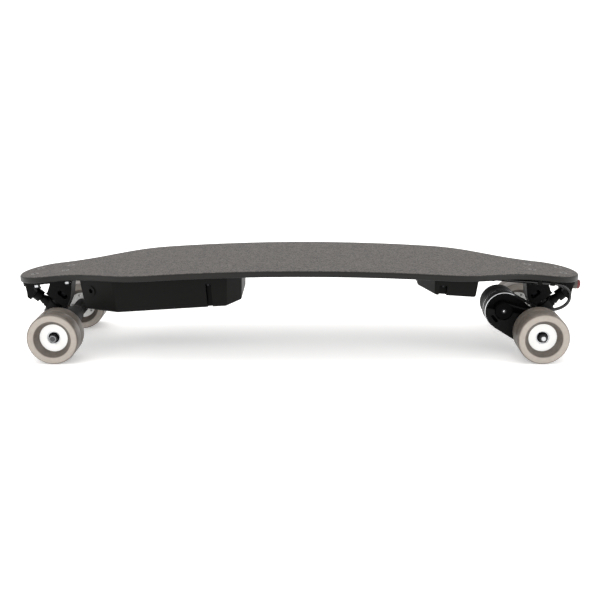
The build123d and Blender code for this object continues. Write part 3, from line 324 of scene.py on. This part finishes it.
# The point on the kingpin's line that the sections' heights count from.
kingpin_x, kingpin_z = 430.877, 64.631
lean, upright = 0.623416, 0.78189             # the kingpin's direction, as a unit vector
for end, toward in (("rear", 1), ("front", -1)):
    centre = Vector((toward * kingpin_x, 0, kingpin_z)) * mm
    place = Matrix.Translation(centre) @ Matrix.Rotation(-toward * atan2(lean, upright), 4, "Y")
    for name, profile, fixed, moving in (("barrel_bushing", barrel, 14, 2), ("cone_bushing", cone, -15, -5)):
        bushing = turned(f"{end}_{name}", profile, place, 64)
        bushing.data.materials.append(urethane_black)
        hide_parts(end + "_bushings")
        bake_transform(bushing)


# ---- Tyres ----
# Four tyres of grey urethane, cast round white cores. The dished faces come smooth and satin from the mould,
# and the tread shows a fine parting line round its middle.

wheel_side = 106.25
grey_urethane, shader = new_finish("cast_grey_urethane", {
    "Roughness": 0.42, "Specular IOR Level": 0.35, "Subsurface Weight": 0.05, "Subsurface Scale": 2 * mm})
place = add_node(grey_urethane, "TexCoord").outputs["Object"]
across = add_node(grey_urethane, "SeparateXYZ", {0: place}).outputs["Y"]
across = add_node(grey_urethane, "Math", {0: across}, operation="ABSOLUTE").outputs[0]
across = add_node(grey_urethane, "Math", {0: across, 1: wheel_side * mm}, operation="SUBTRACT").outputs[0]
across = add_node(grey_urethane, "Math", {0: across}, operation="ABSOLUTE").outputs[0]
# The tread and the dish are painted darker than the flat side ring as painted shade. The noise over all of
# them is dust.
side_ring = add_node(grey_urethane, "MapRange", {0: across, 1: 24.6 * mm, 2: 26.1 * mm}).outputs[0]
dust = add_node(grey_urethane, "TexNoise", {"Vector": place, "Scale": grain(7), "Detail": 5}).outputs["Fac"]
# Painted shade: the tread and the dish take this darker colour.
shaded_tread_and_dish = add_node(grey_urethane, "Mix", {
    0: dust, 6: linear("#47413b"), 7: linear("#6a625b")}, data_type="RGBA").outputs[2]
unshaded_side_ring = add_node(grey_urethane, "Mix", {
    0: dust, 6: linear("#989088"), 7: linear("#aca49b")}, data_type="RGBA").outputs[2]
colour = add_node(grey_urethane, "Mix", {0: side_ring, 6: shaded_tread_and_dish, 7: unshaded_side_ring}, data_type="RGBA").outputs[2]
fine = add_node(grey_urethane, "TexNoise", {"Vector": place, "Scale": grain(1.4), "Detail": 3}).outputs["Fac"]
bump = add_node(grey_urethane, "Bump", {"Height": fine, "Strength": 0.4, "Distance": 0.05 * mm}).outputs[0]
grey_urethane.node_tree.links.new(colour, shader.inputs["Base Color"])
grey_urethane.node_tree.links.new(bump, shader.inputs["Normal"])
wheel_centres = {
    "front_left": (-axle_x, -wheel_side), "front_right": (-axle_x, wheel_side),
    "rear_left": (axle_x, -wheel_side), "rear_right": (axle_x, wheel_side),
}
face_section = (
    (25.53, 13.03), (23.5, 13.03), (23.5, 14.9), (23.9, 15.45), (24.6, 15.9), (30.6, 24.9),
    (31.2, 25.7), (32.1, 26.2), (38.4, 26.25), (39.7, 26.0), (40.9, 25.3), (41.8, 24.3),
    (42.35, 23.1), (42.5, 21.8), (42.5, 0.35), (42.42, 0.15),
)
tyre_section = [*face_section, *[(radius, -height) for radius, height in reversed(face_section)]]
for name, (x, y) in wheel_centres.items():
    place = at(x, y, axle_height) @ Matrix.Rotation(pi / 2, 4, "X")
    tyre = turned(name + "_cast_tyre", tyre_section, place, 128)
    made_of(tyre, grey_urethane, name + "_wheel")
    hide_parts(name + "_tyre")


# ---- Wheel cores ----
# Moulded cores of white glass filled nylon, which the tyres are cast round and the bearings press into.
# The polished mould leaves them smooth and slightly glossy.

white_nylon = coat("moulded_white_nylon", "#f6f6f4", 0.36, 1.2, 0.03)
for name in wheel_centres:
    dress(white_nylon, name + "_core")


# ---- Bearings ----
# Two 608 ball bearings in each core, pressed in from both sides against a shoulder inside it.
# The ground steel races stay bright, and a dull black nitrile shield closes the gap between them.

race_steel = metal("ground_bearing_steel", "#b9bbbd", 0.22, 0.8)
shield_black = coat("black_nitrile_shield", "#0c0c0d", 0.45, 0.8, 0.03, **dark)
half_section = (
    (4.02, 3.45), (5.5, 3.45), (5.75, 3.1), (5.9, 3.0), (8.7, 2.95), (9.0, 3.1), (9.25, 3.45), (10.75, 3.45),
)
other_half = [(radius, -height) for radius, height in reversed(half_section)]
bearing_section = [*half_section, (10.97, 3.2), (10.97, -3.2), *other_half]
bearing_offset = 8.6                          # from the wheel's middle to each bearing's
shield_inside, shield_outside = 5.6, 9.1
for name, (x, y) in wheel_centres.items():
    for side, offset in (("outer", bearing_offset), ("inner", -bearing_offset)):
        offset = offset if y > 0 else -offset
        place = at(x, y + offset, axle_height) @ Matrix.Rotation(pi / 2, 4, "X")
        bearing = turned(f"{name}_{side}_bearing", bearing_section, place, 64)
        made_of(bearing, race_steel, name + "_wheel")
        bearing.data.materials.append(shield_black)
        for face in bearing.data.polygons:
            reach = Vector((face.center.x - x * mm, face.center.z - axle_height * mm)).length
            if shield_inside * mm < reach < shield_outside * mm:
                face.material_index = 1
        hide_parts(name + "_bearings")


# ---- Axle nut inserts ----
# Each axle nut locks with a ring of nylon, rolled into its outer end: grey at the nose, black at the tail.
# Rolling leaves the nylon smooth, with a dull shine.

grey_ring = coat("rolled_grey_nylon", "#7d7f80", 0.4, 0.8, 0.03)
black_ring = coat("rolled_black_nylon", "#1c1c1d", 0.4, 0.8, 0.03)
insert_section = ((4.05, 0.1), (4.05, 0.75), (4.9, 0.9), (5.75, 0.6), (5.9, 0.1))
nut_face = 126.9
for end, x, ring in (("front", -axle_x, grey_ring), ("rear", axle_x, black_ring)):
    for hand, side in (("left", 1), ("right", -1)):
        place = at(x, -side * nut_face, axle_height) @ Matrix.Rotation(side * pi / 2, 4, "X")
        insert = turned(f"{end}_{hand}_nut_insert", insert_section, place, 48)
        made_of(insert, ring, end + "_truck_hanger")


# ---- Motor and belt drive ----
# The outrunner motor and both pulleys are turned aluminium, anodised to a deep, even and matt black.
# The mount and the belt guard are powder coated. The toothed belt is fibre cored neoprene, dull as rubber.

anodised = coat("black_anodised_aluminium", "#040405", 0.55, 2, 0.03, **{"Specular IOR Level": 0.04})
belt_rubber = coat("neoprene_belt", "#0d0d0d", 0.65, 0.6, 0.1, **dark)
dress(anodised, "wheel_pulley", "motor_pulley", "motor_base", "motor_can")
dress(powder_coat, "motor_mount", "belt_guard")
dress(blackened_steel, "pulley_screws", "motor_screws", "motor_shaft")
dress(belt_rubber, "drive_belt")


# ---- Bright edges of the motor ----
# After coating, the rims of the guard, the mount and the motor are faced back to bare aluminium on a lathe,
# which leaves thin bright rings. The shaft keeps the small bright cone of its centre drilling.

faced_aluminium = metal("faced_bare_aluminium", "#dcdddf", 0.2, 0.8)
motor_x, motor_z = 345.639, 76.2239
rim_radius = 32.08
away_from_axle = Vector((motor_x - axle_x, 0, motor_z - axle_height)).normalized()
for name, y, width in (("guard_rim", -79.0, 0.45), ("mount_rim", -59.8, 0.5)):
    section = (
        (rim_radius - 0.8, -width), (rim_radius - 0.3, -width), (rim_radius, -width / 2),
        (rim_radius, width), (rim_radius - 0.8, width),
    )
    rim = turned(name, section, at(motor_x, y, motor_z) @ Matrix.Rotation(-pi / 2, 4, "X"), 160)
    bpy.ops.object.mode_set(mode="EDIT")
    bpy.ops.mesh.select_all(action="SELECT")
    bpy.ops.mesh.bisect(
        plane_co=(motor_x * mm, y * mm, motor_z * mm), plane_no=away_from_axle,
        use_fill=True, clear_inner=True)
    bpy.ops.object.mode_set(mode="OBJECT")
    made_of(rim, faced_aluminium, "rear_truck_hanger")
can_end_y, shaft_end_y = -45.2, -79.9
can_section = ((29.2, -0.2), (29.8, -0.2), (30.05, 0.1), (30.05, 0.5), (29.2, 0.5))
rim = turned("can_rim", can_section, at(motor_x, can_end_y, motor_z) @ Matrix.Rotation(-pi / 2, 4, "X"), 160)
made_of(rim, faced_aluminium, "motor_rotor")
centre_section = ((on_axis, 0.25), (0.5, 0.1), (1.5, -0.1), (1.7, -0.3), (1.7, -0.8), (on_axis, -0.8))
place = at(motor_x, shaft_end_y, motor_z) @ Matrix.Rotation(pi / 2, 4, "X")
centre = turned("shaft_centre", centre_section, place, 48)
made_of(centre, faced_aluminium, "motor_rotor")


# ---- Battery and controller cases ----
# Both cases are tubs of black ABS with a moulded spark texture, screwed to the deck on a foam gasket.
# The texture scatters the light, so the walls look matt. The button is of the same plastic, polished.
# The cells, the boards and the ends of the flat link cable lie inside.

textured_abs = coat("moulded_black_abs", "#0a0a09", 0.5, 0.9, 0.1, **dark)
foam = coat("closed_cell_foam", "#0b0b0b", 0.85, 1.2, 0.2, **dark)
dress(textured_abs, "battery_case", "esc_case", "button_bezel", "charge_socket", "cable_clips")
dress(foam, "case_seals")
dress(blackened_steel, "case_screws")
gloss_abs = coat("glossy_black_abs", "#0c0c0c", 0.2, 2, 0.02)
dress(gloss_abs, "power_button")
cell_wrap = coat("pvc_shrink_wrap", "#3f6f9c", 0.3, 4, 0.05)
solder_mask = coat("green_solder_mask", "#1d5a2c", 0.35, 3, 0.04)
dress(cell_wrap, "battery_cells")
dress(solder_mask, "bms_board", "esc_board")
sheath = coat("glossy_pvc_sheath", "#070707", 0.16, 6, 0.05)
dress(sheath, "link_cable")


# ---- Tail light ----
# A red polycarbonate lens on a moulded grey housing, at the outer end of the rear baseplate.
# The polished polycarbonate takes a sharp highlight over a deep, dark red.

light_housing = coat("moulded_grey_abs", "#4b4843", 0.4, 0.9, 0.05)
dress(light_housing, "tail_light_body")
red_lens = coat("red_polycarbonate", "#6a0708", 0.1, 3, 0.03, **{"Transmission Weight": 0.2, "IOR": 1.58})
dress(red_lens, "tail_light_lens")


# ---- Motor cable ----
# The motor's three leads in one glossy PVC sheath. It runs under the deck from the speed controller,
# loops round the truck's pivot with slack for steering, and dips to the motor's base behind the hanger.

cable_route = (
    (296, -50, 126), (318, -50.5, 126.2), (340, -56, 125.6), (368, -57.5, 122.9), (396, -52, 119.8),
    (422, -48.5, 117), (441, -46.8, 115.3), (455, -46.2, 109), (462.8, -46, 97.5), (461.4, -46.6, 84.5),
    (451.5, -47.6, 75), (437, -48.6, 70.4), (420, -49.2, 69.6), (400, -49, 71.6), (378.2, -48.8, 73.5),
)
cable_radius = 2.75 * mm
# The extruded sheath is smooth and glossy, so it carries one thin highlight along its whole length.
curve = bpy.data.curves.new("motor_lead", "CURVE")
curve.dimensions = "3D"
spline = curve.splines.new("NURBS")
spline.points.add(len(cable_route) - 1)
for point, place in zip(spline.points, cable_route):
    point.co = (*[value * mm for value in place], 1)
spline.order_u = 3
spline.use_endpoint_u = True
curve.resolution_u = 12
curve.bevel_depth = cable_radius
curve.bevel_resolution = 5
curve.use_fill_caps = True
motor_lead = bpy.data.objects.new("motor_lead", curve)
bpy.context.scene.collection.objects.link(motor_lead)
bpy.ops.object.select_all(action="DESELECT")
motor_lead.select_set(True)
bpy.context.view_layer.objects.active = motor_lead
bpy.ops.object.convert(target="MESH")
motor_lead = bpy.context.object
motor_lead.data.materials.append(sheath)
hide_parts("motor_cable")
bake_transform(motor_lead)


# ---- Cable boot ----
# A tapered boot of soft black rubber guards the lead where it leaves the controller's case.
# Its four ribs let it bend, and each catches a faint line of light.

boot_section = [(2.8, -2), (6.4, -2), (6.4, 1.2), (5.3, 1.6)]
rib_pitch = 3
for rib in range(4):
    crest, root, start = 5.2 - 0.4 * rib, 4.3 - 0.3 * rib, rib_pitch * rib
    boot_section += [(crest, 2.4 + start), (crest, 4.2 + start), (root, 4.5 + start)]
boot_section += [(3.3, 15.5), (2.8, 15.6)]
place = at(304.5, -50.2, 126.1) @ Matrix.Rotation(pi / 2, 4, "Y")
boot = turned("motor_lead_boot", boot_section, place, 48)
made_of(boot, black_rubber, "board")
